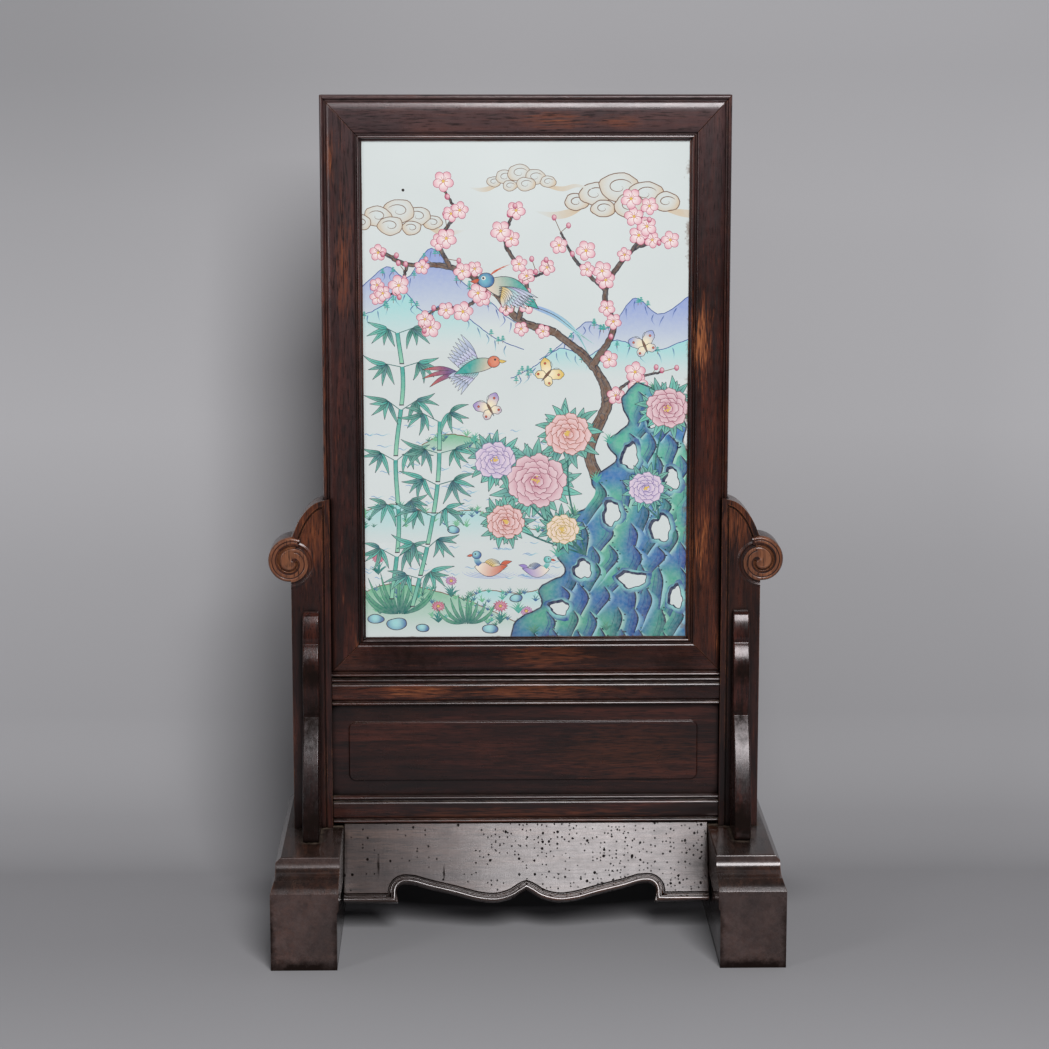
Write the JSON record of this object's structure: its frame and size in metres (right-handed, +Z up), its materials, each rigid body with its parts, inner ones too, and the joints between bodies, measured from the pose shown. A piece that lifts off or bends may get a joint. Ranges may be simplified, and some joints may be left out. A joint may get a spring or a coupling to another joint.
{
  "type": "table screen",
  "caption": "Hardwood table screen: a mitred moulded frame with a painted porcelain plaque slides down into a grooved stand with scroll-topped posts, cusped aprons and block feet",
  "frame": {"origin": "on the surface that the feet stand on, midway between the feet and midway along them", "axes": "+Z up, +X to the viewer's right, the painted front faces -Y"},
  "size_m": [0.3954, 0.24, 0.6454],
  "materials": {
    "screen_wood": "semi-gloss, dark red-brown, worn at the edges",
    "stand_wood": "semi-gloss, dark brown, worn at the edges",
    "apron_wood": "satin, dusty brown, with insect holes",
    "board_wood": "plain, unpolished",
    "porcelain": "glazed porcelain, cool pale white, painted in overglaze enamels"
  },
  "bodies": {
    "stand": {"post_left": "stand_wood", "post_right": "stand_wood", "foot_left": "stand_wood", "foot_right": "stand_wood", "spandrel_front_left": "stand_wood", "spandrel_front_right": "stand_wood", "spandrel_rear_left": "stand_wood", "spandrel_rear_right": "stand_wood", "rail_upper": "stand_wood", "rail_lower": "stand_wood", "waist_panel": "stand_wood", "apron_front": "apron_wood", "apron_rear": "apron_wood"},
    "screen": {"frame_stile_left": "screen_wood", "frame_stile_right": "screen_wood", "frame_rail_top": "screen_wood", "frame_rail_bottom": "screen_wood", "porcelain_plaque": "porcelain", "back_board": "board_wood", "batten_lower": "board_wood", "batten_upper": "board_wood"}
  },
  "joints": [
    {"name": "screen_lift", "type": "slide", "parent": "stand", "child": "screen", "axis": [0, 0, 1], "range_m": [0, 0.15]}
  ]
}
